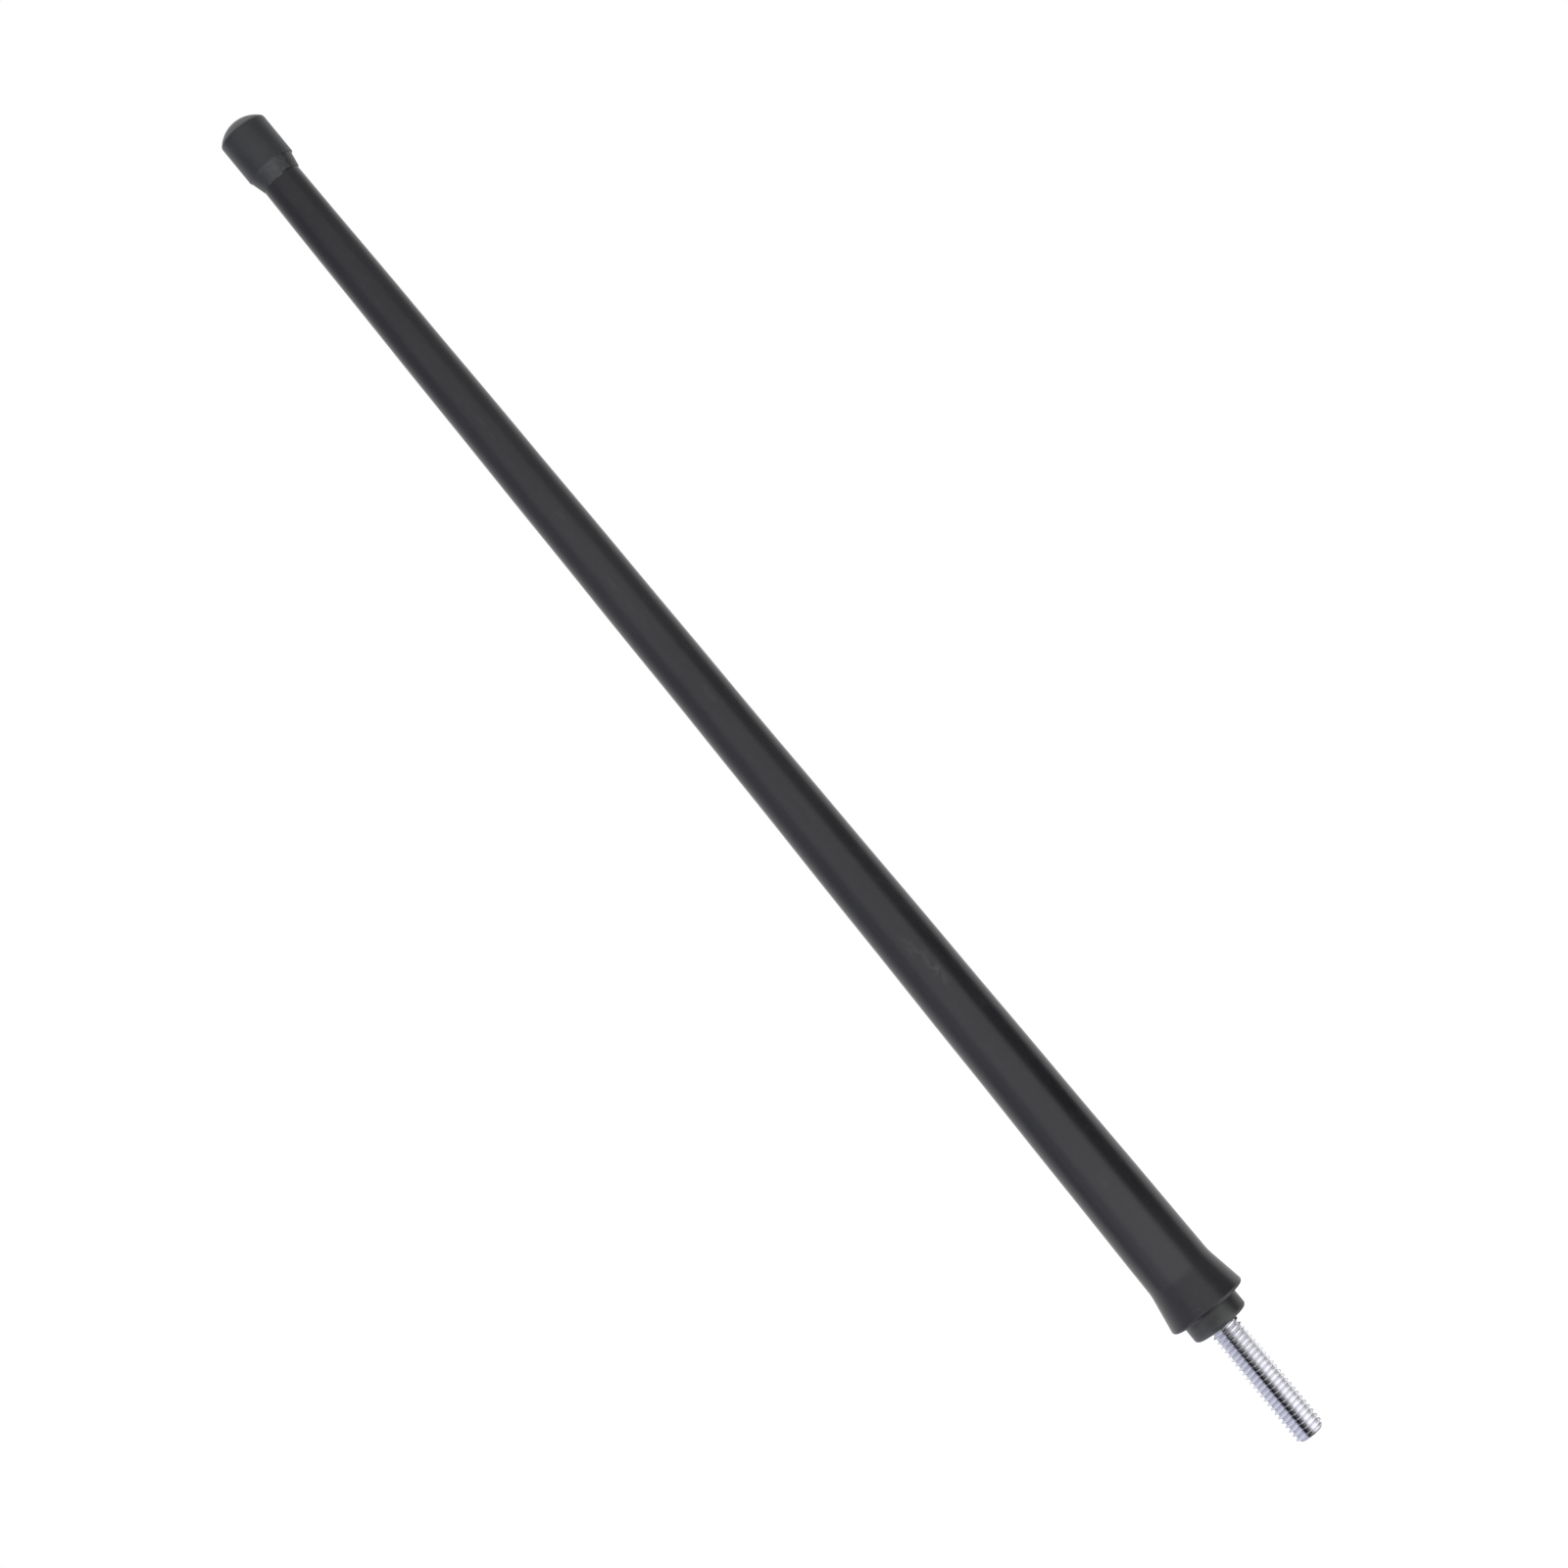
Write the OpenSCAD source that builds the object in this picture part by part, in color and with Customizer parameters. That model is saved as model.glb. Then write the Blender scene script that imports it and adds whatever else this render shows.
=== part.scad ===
// Flexible rubber mast aerial for a car. A tapered whip with a flared foot screws into the base on the
// wing or roof by its threaded stud. Inside, a helical wire radiator is wound on a glass-fibre rod.
// The mast stands along +Z, and z = 0 is the collar's seat on the car. Sizes are in millimetres.

/* [Stud] */
// Outside diameter of the mounting thread
stud_d = 6.0; // [5:0.1:6.6]
// Pitch of the mounting thread
thread_pitch = 1.0; // [0.7:0.05:1.25]
// Length of thread that shows below the collar
stud_length = 25; // [15:1:40]
// Length of thread screwed into the ferrule
stud_grip = 12; // [8:1:13]

/* [Base collar] */
// Outside diameter of the collar
collar_d = 11.3; // [10.8:0.1:12.4]
// Height of collar that shows below the sleeve
collar_height = 3.7; // [2.5:0.1:6]
// Depth of collar that sits in the sleeve's foot
collar_seat_depth = 3.0; // [2:0.1:5]
// Rounding of the collar's lower edge
collar_edge_r = 0.8; // [0.3:0.1:1.2]
// Gap all round between the collar's hole and the thread
collar_hole_gap = 0.2; // [0.1:0.05:0.5]

/* [Ferrule] */
// Diameter of the ferrule's barrel
ferrule_d = 8.8; // [8.2:0.1:9.6]
// Length of the ferrule
ferrule_length = 22; // [21:1:28]
// Diameter of the flange at the ferrule's foot
flange_d = 10.2; // [9.8:0.1:10.6]
// Thickness of the flange
flange_thickness = 1.5; // [1:0.1:2.5]
// Number of grip grooves round the barrel
groove_count = 4; // [2:1:5]
// Distance from one grip groove to the next
groove_pitch = 3.2; // [2.2:0.1:3.4]
// Width of one grip groove
groove_width = 1.4; // [0.8:0.1:1.8]
// Depth of one grip groove
groove_depth = 0.5; // [0.3:0.05:0.7]
// Depth of the socket that holds the rod
socket_depth = 6; // [4:0.5:7]
// Length of the tapered nose
nose_length = 3; // [2:0.5:4]
// Width of the nose's end face outside the shrink tube
nose_land = 0.3; // [0.1:0.1:0.6]

/* [Radiator] */
// Diameter of the glass-fibre rod
rod_d = 3.0; // [2.5:0.1:3.4]
// Diameter of the wire
wire_d = 0.5; // [0.35:0.05:0.65]
// Pitch of the open turns
open_pitch = 6; // [4.5:0.5:9]
// Number of open turns below the loading coil
foot_turns = 17; // [8:1:20]
// Pitch of the loading coil's close turns
coil_pitch = 0.75; // [0.75:0.05:1.2]
// Number of close turns in the loading coil
coil_turns = 36; // [20:1:45]
// Height of the solder fillet on the ferrule's nose
solder_height = 1.0; // [0.6:0.1:1.6]
// Wall of the shrink tube
tube_wall = 0.35; // [0.2:0.05:0.5]
// Bare length of rod above the shrink tube
rod_tail = 1.5; // [0.5:0.5:3]
// Length of shrink tube left above the last turn of wire
tube_tail = 1.0; // [0.5:0.5:3]

/* [Sleeve] */
// Height of the mast's tip above the seat
mast_height = 279.4; // [255:0.1:320]
// Diameter of the foot's rim
rim_d = 15.7; // [15:0.1:17]
// Rounding of the rim's edge
rim_edge_r = 0.7; // [0.3:0.1:1]
// Height of the flare above the rim
flare_height = 8; // [7:0.5:12]
// Diameter where the flare meets the long taper
foot_d = 13.1; // [12.6:0.1:14]
// Diameter at the waist
waist_d = 10.0; // [9:0.1:10.6]
// Height of the waist above the seat
waist_z = 135; // [110:1:160]
// Diameter where the last taper begins
upper_d = 8.9; // [8.4:0.1:9.2]
// Height above the seat where the last taper begins
upper_z = 209; // [180:1:225]
// Diameter at the sleeve's top, inside the cap
top_d = 7.5; // [7.1:0.1:7.7]

/* [Tip cap] */
// Diameter of the cap
cap_d = 9.7; // [9.3:0.1:10.6]
// Height of the cap's straight side
cap_height = 8.2; // [6.5:0.1:12]
// Height of the domed crown
crown_height = 2.3; // [1.5:0.1:3.5]
// Rounding of the edge between crown and side
crown_edge_r = 0.6; // [0.2:0.1:0.8]
// Width of the ledge at the bottom of the straight side
ledge_width = 0.3; // [0.1:0.05:0.4]
// Height of the tapered neck below the ledge
neck_height = 2.9; // [2:0.1:5]
// Wall of the neck at its lower lip
lip_wall = 0.2; // [0.15:0.05:0.35]
// Depth of the sleeve's top above the ledge
cap_grip = 5.0; // [3:0.1:5.8]

/* [Fits] */
// Glue or moulding line left between the bonded pieces
bond_gap = 0.05; // [0.02:0.01:0.1]
// Gap left between the rod's end and the cap
rod_end_gap = 0.5; // [0.1:0.1:0.9]

/* [Hidden] */
$fn = 96;
ARC_STEPS = 8;
WIRE_STEPS = 12;
WIRE_SIDES = 5;

// Thread forms of the ISO metric profile, as shares of the pitch
pitch_diameter_drop = 0.6495 * thread_pitch;
thread_depth = 0.6134 * thread_pitch;
drill_depth = 0.3;

stud_r = stud_d / 2;
shank_r = (stud_d - pitch_diameter_drop) / 2;
shank_step = stud_r - shank_r;
collar_top = collar_height + collar_seat_depth;
collar_hole_r = stud_r + collar_hole_gap;
stud_top = collar_top + stud_grip;
ferrule_top = collar_top + ferrule_length;
nose_base = ferrule_top - nose_length;
first_groove = collar_top + flange_thickness + groove_pitch / 2;

rod_r = rod_d / 2;
wire_r = wire_d / 2;
// The wire's flat-sided turns clear the rod at the middle of each side
winding_r = (rod_r + wire_r + bond_gap) / cos(180 / WIRE_STEPS);
tube_bore_r = winding_r + wire_r + bond_gap;
tube_r = tube_bore_r + tube_wall;
nose_r = tube_r + nose_land;
sleeve_bore_r = tube_r + bond_gap;

shoulder_z = mast_height - crown_height;
ledge_z = shoulder_z - cap_height;
lip_z = ledge_z - neck_height;
sleeve_top = ledge_z + cap_grip;
rod_top = sleeve_top - rod_end_gap;
tube_top = rod_top - rod_tail;

winding_start = ferrule_top + solder_height + wire_r + bond_gap;
coil_start = winding_start + foot_turns * open_pitch;
coil_end = coil_start + coil_turns * coil_pitch;
winding_space = tube_top - tube_tail - coil_end;
tip_turns = max(0, floor(winding_space / open_pitch));
all_turns = foot_turns + coil_turns + tip_turns;

// Sleeve's outer radius at a height on its last taper
function last_taper_r(z) = upper_d / 2 + (top_d - upper_d) / 2 * (z - upper_z) / (sleeve_top - upper_z);

// Points on an arc about [x, z] from one angle to the other
function arc(x, z, r, from, to) =
    [for (i = [0:ARC_STEPS]) let (a = from + (to - from) * i / ARC_STEPS) [x + r * cos(a), z + r * sin(a)]];

// A turned piece of the section given as its child, which lies at x >= 0
module turned() rotate_extrude() children();

// A rectangle of the section, from radius r0 to r1 and height z0 to z1
module band(r0, r1, z0, z1) translate([r0, z0]) square([r1 - r0, z1 - z0]);

// Double-ended stud. The shank between its two threads has their pitch diameter, as rolled threads leave it
module mast_stud() {
    color("#c9cbd3") turned() polygon([
        [0, -stud_length],
        [stud_r - thread_depth, -stud_length],
        [stud_r, -stud_length + thread_depth],
        [stud_r, 0],
        [shank_r, shank_step],
        [shank_r, collar_top],
        [stud_r, collar_top + shank_step],
        [stud_r, stud_top - thread_depth],
        [stud_r - thread_depth, stud_top],
        [0, stud_top]
    ]);
}

// Collar that closes the sleeve's foot and bears on the car's aerial base
module base_collar() {
    r = collar_d / 2;
    color("#303134") turned() difference() {
        polygon(concat(
            [[0, 0]],
            arc(r - collar_edge_r, collar_edge_r, collar_edge_r, -90, 0),
            [[r, collar_top], [0, collar_top]]
        ));
        band(0, collar_hole_r, 0, collar_top);
    }
}

// Outside of the ferrule, with its radii and grooves grown by a gap, which the sleeve is moulded to
module ferrule_section(gap) {
    r = ferrule_d / 2;
    difference() {
        polygon([
            [0, collar_top],
            [flange_d / 2 + gap, collar_top],
            [flange_d / 2 + gap, collar_top + flange_thickness + gap],
            [r + gap, collar_top + flange_thickness + gap],
            [r + gap, nose_base],
            [nose_r + gap, ferrule_top],
            [0, ferrule_top]
        ]);
        for (i = [0:groove_count - 1]) {
            z = first_groove + i * groove_pitch;
            band(r - groove_depth + gap, flange_d / 2 + gap, z + gap, z + groove_width - gap);
        }
    }
}

// Turned brass ferrule. The stud screws in below, the rod is held above, and the grooves grip the rubber
module ferrule() {
    color("#b8923e") turned() difference() {
        ferrule_section(0);
        band(0, stud_r + bond_gap, collar_top, stud_top + drill_depth);
        band(0, rod_r + bond_gap, ferrule_top - socket_depth, ferrule_top);
    }
}

// Solder fillet that joins the wire to the ferrule's nose, hollow in section
module solder_joint() {
    inner = rod_r + bond_gap;
    top = inner + wire_r;
    outer = tube_bore_r - bond_gap;
    color("#a9adb3") turned() polygon(concat(
        [[inner, ferrule_top]],
        [for (i = [0:ARC_STEPS]) let (u = i / ARC_STEPS)
            [top + (outer - top) * pow(1 - u, 2), ferrule_top + solder_height * u]],
        [[inner, ferrule_top + solder_height]]
    ));
}

// Springy glass-fibre rod that the wire is wound on
module core_rod() {
    color("#d9d3b4") translate([0, 0, ferrule_top - socket_depth])
        cylinder(r = rod_r, h = rod_top - ferrule_top + socket_depth);
}

// Height of the wire after a number of turns: open turns, the close loading coil, then open turns again
function wire_z(n) =
    n < foot_turns ? winding_start + n * open_pitch
    : n < foot_turns + coil_turns ? coil_start + (n - foot_turns) * coil_pitch
    : coil_end + (n - foot_turns - coil_turns) * open_pitch;

// Slope of the wire at a number of turns, as the angle it climbs at
function wire_lead(n) = let (d = 0.5 / WIRE_STEPS)
    atan((wire_z(n + d) - wire_z(n - d)) / (2 * PI * winding_r * 2 * d));

// One ring of points round the wire, square to its run
function wire_ring(n) = let (a = 360 * n, lead = wire_lead(n))
    [for (j = [0:WIRE_SIDES - 1]) let (
            b = 360 * j / WIRE_SIDES,
            out = winding_r + wire_r * cos(b),
            up = wire_r * sin(b))
        [out * cos(a) + up * sin(lead) * sin(a),
         out * sin(a) - up * sin(lead) * cos(a),
         wire_z(n) + up * cos(lead)]];

// Helical copper radiator, swept ring by ring along its own rule. Its close turns load the aerial
module radiator_winding() {
    rings = all_turns * WIRE_STEPS;
    points = [for (i = [0:rings]) each wire_ring(i / WIRE_STEPS)];
    sides = [for (i = [0:rings - 1], j = [0:WIRE_SIDES - 1])
        let (a = i * WIRE_SIDES + j, b = i * WIRE_SIDES + (j + 1) % WIRE_SIDES)
        each [[a, b, b + WIRE_SIDES], [a, b + WIRE_SIDES, a + WIRE_SIDES]]];
    start_face = [for (j = [WIRE_SIDES - 1:-1:0]) j];
    end_face = [for (j = [0:WIRE_SIDES - 1]) rings * WIRE_SIDES + j];
    color("#b4653a") polyhedron(points, concat([start_face, end_face], sides));
}

// Shrink tube that holds the turns in place
module shrink_tube() {
    color("#1b1b1d") turned() band(tube_bore_r, tube_r, ferrule_top, tube_top);
}

// Tapered rubber sleeve with its flared foot, moulded over the ferrule and the covered radiator
module mast_sleeve() {
    rim_r = rim_d / 2;
    color("#2b2c2f") turned() difference() {
        polygon(concat(
            [[0, collar_height]],
            arc(rim_r - rim_edge_r, collar_height + rim_edge_r, rim_edge_r, -90, 0),
            [[foot_d / 2, collar_height + flare_height],
             [waist_d / 2, waist_z],
             [upper_d / 2, upper_z],
             [top_d / 2, sleeve_top],
             [0, sleeve_top]]
        ));
        band(0, collar_d / 2 + bond_gap, collar_height, collar_top);
        ferrule_section(bond_gap);
        band(0, sleeve_bore_r, ferrule_top, sleeve_top);
    }
}

// Moulded rubber cap with a domed crown, and a thin tapered neck that laps over the sleeve
module tip_cap() {
    r = cap_d / 2;
    // The crown is part of a sphere, and its rounded edge touches the sphere and the side
    crown_r = (r * r + crown_height * crown_height) / (2 * crown_height);
    crown_z = mast_height - crown_r;
    edge_x = r - crown_edge_r;
    edge_z = crown_z + sqrt(pow(crown_r - crown_edge_r, 2) - edge_x * edge_x);
    edge_angle = atan2(edge_z - crown_z, edge_x);
    bore_lip_r = last_taper_r(lip_z) + bond_gap;
    color("#333437") turned() difference() {
        polygon(concat(
            [[0, lip_z], [bore_lip_r + lip_wall, lip_z], [r - ledge_width, ledge_z], [r, ledge_z]],
            arc(edge_x, edge_z, crown_edge_r, 0, edge_angle),
            arc(0, crown_z, crown_r, edge_angle, 90)
        ));
        polygon([[0, lip_z], [bore_lip_r, lip_z], [top_d / 2 + bond_gap, sleeve_top], [0, sleeve_top]]);
    }
}

mast_stud();
base_collar();
ferrule();
solder_joint();
core_rod();
radiator_winding();
shrink_tube();
mast_sleeve();
tip_cap();
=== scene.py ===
"""Rubber car mast aerial: the looks of its sleeve, cap, collar and threaded stud, and a plain studio."""

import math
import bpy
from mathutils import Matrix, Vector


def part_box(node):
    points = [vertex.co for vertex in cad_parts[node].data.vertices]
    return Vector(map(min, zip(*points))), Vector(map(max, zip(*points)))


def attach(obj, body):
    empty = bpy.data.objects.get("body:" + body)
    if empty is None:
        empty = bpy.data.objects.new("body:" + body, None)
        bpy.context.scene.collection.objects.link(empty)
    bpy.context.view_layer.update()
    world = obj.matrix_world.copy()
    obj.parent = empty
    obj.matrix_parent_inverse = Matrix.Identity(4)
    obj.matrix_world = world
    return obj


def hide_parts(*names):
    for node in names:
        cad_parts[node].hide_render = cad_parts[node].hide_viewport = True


bl_info = {
    "name": "Rubber Car Mast Aerial",
    "version": (1, 0, 0),
    "blender": (4, 5, 0),
    "location": "View3D > Sidebar > Aerial",
    "description": "Builds the rubber, moulded and threaded pieces of a car mast aerial",
    "category": "Add Mesh",
}

import bmesh
import bpy
import numpy as np
from bpy.props import FloatProperty, IntProperty, PointerProperty
from bpy.types import Operator, Panel, PropertyGroup
from mathutils import Matrix, Vector

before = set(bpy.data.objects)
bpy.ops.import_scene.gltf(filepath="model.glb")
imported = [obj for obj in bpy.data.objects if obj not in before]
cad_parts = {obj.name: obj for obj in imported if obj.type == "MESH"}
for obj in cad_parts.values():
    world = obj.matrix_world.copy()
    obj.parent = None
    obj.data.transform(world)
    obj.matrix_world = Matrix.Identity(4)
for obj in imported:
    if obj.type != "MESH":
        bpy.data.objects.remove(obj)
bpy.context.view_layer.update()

MM = 0.001
ROOT = "root"


def low(node):
    """Height of a node's lowest point."""
    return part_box(node)[0].z


def high(node):
    """Height of a node's highest point."""
    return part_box(node)[1].z


def reach(node):
    """Largest radius of a turned node, which keeps inside its box on every side."""
    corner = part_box(node)[1]
    return min(corner.x, corner.y)


def metres(name, text, value):
    """A length that a user can change, in metres."""
    return FloatProperty(
        name=name, description=text, default=value, unit="LENGTH", subtype="DISTANCE", precision=5
    )


def angle(name, text, degrees):
    """An angle that a user can change."""
    return FloatProperty(name=name, description=text, default=math.radians(degrees), subtype="ANGLE")


def number(name, text, value):
    """A plain number that a user can change."""
    return FloatProperty(name=name, description=text, default=value)


# Settings


class SleeveSettings(PropertyGroup):
    """Sizes of the tapered rubber sleeve."""

    columns: IntProperty(name="Columns", description="Faces round the sleeve", default=160, min=24)
    row_step: metres("Row step", "Height of one row of faces on the long taper", 1.6 * MM)
    rim_edge: metres("Rim edge", "Rounding of the foot's rim", 0.7 * MM)
    flare_height: metres("Flare height", "Height of the flared foot above its rim", 8 * MM)
    foot_radius: metres("Foot radius", "Radius where the flare meets the taper", 6.55 * MM)
    waist_radius: metres("Waist radius", "Radius at the waist", 5.0 * MM)
    waist_height: metres("Waist height", "Height of the waist above the seat", 135 * MM)
    upper_radius: metres("Upper radius", "Radius where the last taper begins", 4.45 * MM)
    upper_height: metres("Upper height", "Height where the last taper begins", 209 * MM)
    top_radius: metres("Top radius", "Radius at the sleeve's top, inside the cap", 3.75 * MM)
    blend: metres("Blend", "Length over which one taper runs into the next", 24 * MM)
    flare_blend: metres("Flare blend", "Length over which the taper runs into the flare", 0.35 * MM)
    ripple: metres("Ripple", "Height of the rubber's slow unevenness", 0.03 * MM)
    barrel_radius: metres("Barrel radius", "Radius of the ferrule's barrel", 4.4 * MM)
    flange_height: metres("Flange height", "Thickness of the ferrule's flange", 1.5 * MM)
    nose_height: metres("Nose height", "Length of the ferrule's tapered nose", 3 * MM)
    nose_radius: metres("Nose radius", "Radius of the nose's end face", 2.84 * MM)
    groove_count: IntProperty(name="Grooves", description="Number of the ferrule's grip grooves", default=4)
    groove_pitch: metres("Groove pitch", "Distance from one groove to the next", 3.2 * MM)
    groove_width: metres("Groove width", "Width of one groove", 1.4 * MM)
    groove_depth: metres("Groove depth", "Depth of one groove", 0.5 * MM)
    bond: metres("Bond", "Glue line between bonded pieces", 0.05 * MM)


class CapSettings(PropertyGroup):
    """Sizes of the tip cap and of the tear on its neck."""

    columns: IntProperty(name="Columns", description="Faces round the cap", default=360, min=48)
    side_height: metres("Side height", "Height of the cap's straight side", 8.2 * MM)
    crown_height: metres("Crown height", "Height of the domed crown", 2.3 * MM)
    crown_edge: metres("Crown edge", "Rounding of the edge between crown and side", 0.7 * MM)
    ledge_width: metres("Ledge width", "Width of the ledge under the straight side", 0.3 * MM)
    lip_wall: metres("Lip wall", "Wall of the neck at its lower lip", 0.2 * MM)
    lip_bevel: metres("Lip bevel", "Bevel under the open lip", 0.17 * MM)
    skin: metres("Skin", "How far the torn skin's feathered edge stands off the sleeve", 0.05 * MM)
    skin_step: metres("Skin step", "Step between the ledge and the torn skin that fills it", 0.01 * MM)
    tear_drop: metres("Tear drop", "How far the torn skin hangs below the lip", 0.24 * MM)
    tear_jag: metres("Tear jag", "Height of the jags along the torn edge", 0.05 * MM)
    tear_right: angle("Tear right", "Angle of the torn skin's edge from the front", 40)
    rag_right: angle("Rag right", "Angle where the hanging rag ends and the lip stands open", 22)
    fill_left: angle("Fill left", "Angle where the skin begins to fill the ledge", -140)
    tear_left: angle("Tear left", "Angle where the torn skin dies away", -115)


class CollarSettings(PropertyGroup):
    """Sizes of the base collar."""

    columns: IntProperty(name="Columns", description="Faces round the collar", default=160, min=24)
    hole_radius: metres("Hole radius", "Radius of the stud's hole", 3.2 * MM)
    edge: metres("Edge", "Rounding of the lower edge", 0.8 * MM)
    hole_edge: metres("Hole edge", "Rounding of the hole's mouth", 0.15 * MM)


class StudSettings(PropertyGroup):
    """Sizes of the threaded stud."""

    columns: IntProperty(name="Columns", description="Faces round the stud", default=64, min=24)
    pitch: metres("Pitch", "Pitch of the thread", 1.0 * MM)
    end_radius: metres("End radius", "Radius of the chamfered end faces", 2.2 * MM)
    runout: metres("Run-out", "Length over which the thread runs out into the shank", 0.5 * MM)


class StageSettings(PropertyGroup):
    """Camera, floor, light, and what the gloss mirrors."""

    distance: metres("Distance", "Distance from the camera to the mast", 0.696)
    aim_height: metres("Aim height", "Height on the mast that the camera looks at", 0.1236)
    aim_side: metres("Aim side", "How far the camera aims to the right of the mast", 0.00083)
    rise: angle("Rise", "Angle at which the camera looks up", 2.8)
    roll: angle("Roll", "Lean of the mast in the picture", 39.41)
    lens: number("Lens", "Focal length in millimetres on a 36 mm sensor", 89.2)
    floor_drop: metres("Floor drop", "Gap between the stud's end and the floor", 0.012)
    floor_size: metres("Floor size", "Width of the floor", 6.0)
    band_radius: metres("Band radius", "Distance of the graded band from the stud", 0.040)
    band_low: metres("Band low", "Height of the graded band's lower edge", -0.110)
    band_high: metres("Band high", "Height of the graded band's upper edge", -0.004)
    strip_radius: metres("Strip radius", "Distance of the dark strip from the stud's axis", 0.009)
    strip_high: metres("Strip high", "Height of the dark strip's upper edge", -0.0012)
    card_radius: metres("Card radius", "Distance of the dark card on the foot's right", 0.30)
    card_low: metres("Card low", "Height of the card's lower edge", -0.03)
    card_high: metres("Card high", "Height where the card ends", 0.14)
    room: number("Room", "Strength of the room's soft light", 0.7)


# Meshes


def mesh_object(name, vertices, faces):
    """A new object at the origin, whose place is in its mesh."""
    mesh = bpy.data.meshes.new(name)
    mesh.from_pydata(vertices.tolist(), [], faces)
    mesh.validate()
    piece = bpy.data.objects.new(name, mesh)
    bpy.context.scene.collection.objects.link(piece)
    return piece


def finish_piece(piece, node, material, sharp=math.radians(40)):
    """Shades a piece smooth, gives it its material and sets it in the frame in place of its node."""
    piece.data.shade_smooth()
    piece.data.set_sharp_from_angle(angle=sharp)
    piece.data.materials.clear()
    piece.data.materials.append(material)
    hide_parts(node)
    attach(piece, ROOT)


def ring_angles(columns):
    """Angles round the mast, from the front (-Y) towards +X."""
    return 2 * math.pi * np.arange(columns) / columns


def turned_points(radii, heights, angles):
    """Points at (r sin a, -r cos a, z): each row of radii and heights is turned about the mast's axis."""
    r = np.broadcast_to(radii, (len(heights), len(angles)))
    z = np.broadcast_to(heights, (len(heights), len(angles)))
    return np.stack([r * np.sin(angles), -r * np.cos(angles), z], axis=-1)


def quads(rows, columns, closed_rows=False):
    """Faces between each row and the next, wrapped round the columns and, if asked, round the rows."""
    last = rows if closed_rows else rows - 1
    i, j = np.meshgrid(np.arange(last), np.arange(columns), indexing="ij")
    up, across = (i + 1) % rows, (j + 1) % columns
    return np.stack([i * columns + j, i * columns + across, up * columns + across, up * columns + j], axis=-1)


def turned_ring(name, radii, heights, columns):
    """A closed section that stays clear of the axis, turned into a ring-like solid."""
    points = turned_points(radii, heights, ring_angles(columns)).reshape(-1, 3)
    faces = quads(len(heights), columns, closed_rows=True).reshape(-1, 4)
    return mesh_object(name, points, faces.tolist())


def turned_solid(name, radii, heights, columns):
    """An open section whose first and last rows lie on the axis, turned into a solid with a point at each."""
    points = turned_points(radii[1:-1], heights[1:-1], ring_angles(columns)).reshape(-1, 3)
    rows = len(heights) - 2
    first, last = len(points), len(points) + 1
    ends = [[0, 0, float(np.ravel(heights[0])[0])], [0, 0, float(np.ravel(heights[-1])[0])]]
    points = np.vstack([points, ends])
    j = np.arange(columns)
    across = (j + 1) % columns
    fan = np.stack([np.full(columns, first), across, j], axis=-1)
    top = (rows - 1) * columns
    cap = np.stack([top + j, top + across, np.full(columns, last)], axis=-1)
    faces = quads(rows, columns).reshape(-1, 4).tolist() + fan.tolist() + cap.tolist()
    return mesh_object(name, points, faces)


def arc(centre, radius, start, end, steps=8):
    """Points [r, z] on an arc about a centre, from one angle to the other in degrees."""
    a = np.radians(np.linspace(start, end, steps + 1))
    return np.stack([centre[0] + radius * np.cos(a), centre[1] + radius * np.sin(a)], axis=-1)


def resample(points, step):
    """Adds points so that no stretch of an outline is longer than the step."""
    out = [points[0]]
    for a, b in zip(points[:-1], points[1:]):
        n = max(1, math.ceil(np.linalg.norm(b - a) / step))
        out += [a + (b - a) * k / n for k in range(1, n + 1)]
    return np.array(out)


def smooth_step(x, start, end):
    """0 before start and 1 after end, with a smooth rise between."""
    t = np.clip((x - start) / (end - start), 0, 1)
    return t * t * (3 - 2 * t)


def softened(z, stations, radii, blend):
    """Straight tapers between stations, each corner rounded: the mean of the tapers over a length about z."""
    samples = 9
    offsets = np.linspace(-0.5, 0.5, samples) * blend
    return np.mean([np.interp(z + d, stations, radii) for d in offsets], axis=0)


def soft_floor(x, softness):
    """The larger of x and 0, with the corner between them rounded."""
    return softness * np.logaddexp(0, x / softness)


# Pieces


def sleeve_taper(s, z):
    """Outer radius of the sleeve's long taper at each height."""
    rim = low("mast_sleeve")
    stations = [rim + s.flare_height, s.waist_height, s.upper_height, high("mast_sleeve")]
    radii = [s.foot_radius, s.waist_radius, s.upper_radius, s.top_radius]
    slope = (s.foot_radius - s.waist_radius) / (s.waist_height - stations[0])
    stations = [0.0] + stations
    radii = [s.foot_radius + slope * stations[1]] + radii
    top = stations[-1] + s.blend
    stations.append(top)
    radii.append(s.top_radius - (s.upper_radius - s.top_radius) * s.blend / (stations[-2] - s.upper_height))
    return softened(z, stations, radii, s.blend)


def slow_waves(heights, angles):
    """Two slow waves up the rubber, 30 mm and 76 mm long, whose start swings round the mast."""
    z = heights / MM
    short = np.sin(z * 0.21 + 1.7 * np.sin(angles + 0.6))
    return short + 0.8 * np.sin(z * 0.083 - 2.1 * np.cos(angles))


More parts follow.
